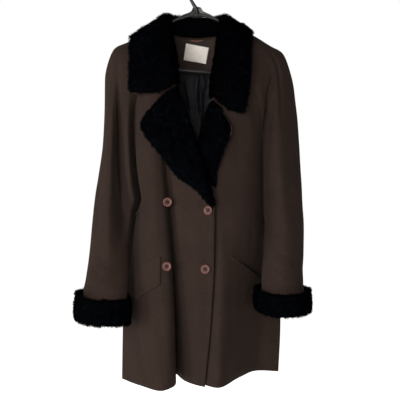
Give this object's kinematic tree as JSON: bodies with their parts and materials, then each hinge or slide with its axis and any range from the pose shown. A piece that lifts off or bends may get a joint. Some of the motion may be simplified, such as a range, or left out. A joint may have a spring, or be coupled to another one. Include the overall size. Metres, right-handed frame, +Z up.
{
  "type": "fur-collar coat on a hanger",
  "caption": "Three-quarter length double-breasted coat with a plush fur collar, lapels and turned-back cuffs, hanging open-necked on a plastic hanger.",
  "frame": {"origin": "inside top of the hanger's hook, where it hangs on a rail", "axes": "+Z up, -Y towards the coat's front, +X to the picture's right, which is the wearer's left"},
  "size_m": [0.5685, 0.2398, 1.0205],
  "materials": {
    "wool": "matt twill-like wool",
    "fur": "dense plush pile",
    "lining": "satin",
    "facing": "matt wool",
    "label": "woven, blank",
    "loop": "woven tape",
    "button": "pearly",
    "plastic": "smooth black"
  },
  "bodies": {
    "root": {"hanger": "plastic", "back": "wool", "front_right": "wool", "front_left": "wool", "sleeve_right": "wool", "sleeve_left": "wool", "collar": "fur", "under_collar": "wool", "lapel_right": "fur", "lapel_left": "fur", "lapel_under_right": "wool", "lapel_under_left": "wool", "cuff_right": "fur", "cuff_left": "fur", "flap_right": "wool", "welt_left": "wool", "back_facing": "facing", "lining_back": "lining", "label": "label", "hanger_loop": "loop", "button_1": "button", "button_2": "button", "button_3": "button", "button_4": "button"}
  },
  "joints": []
}
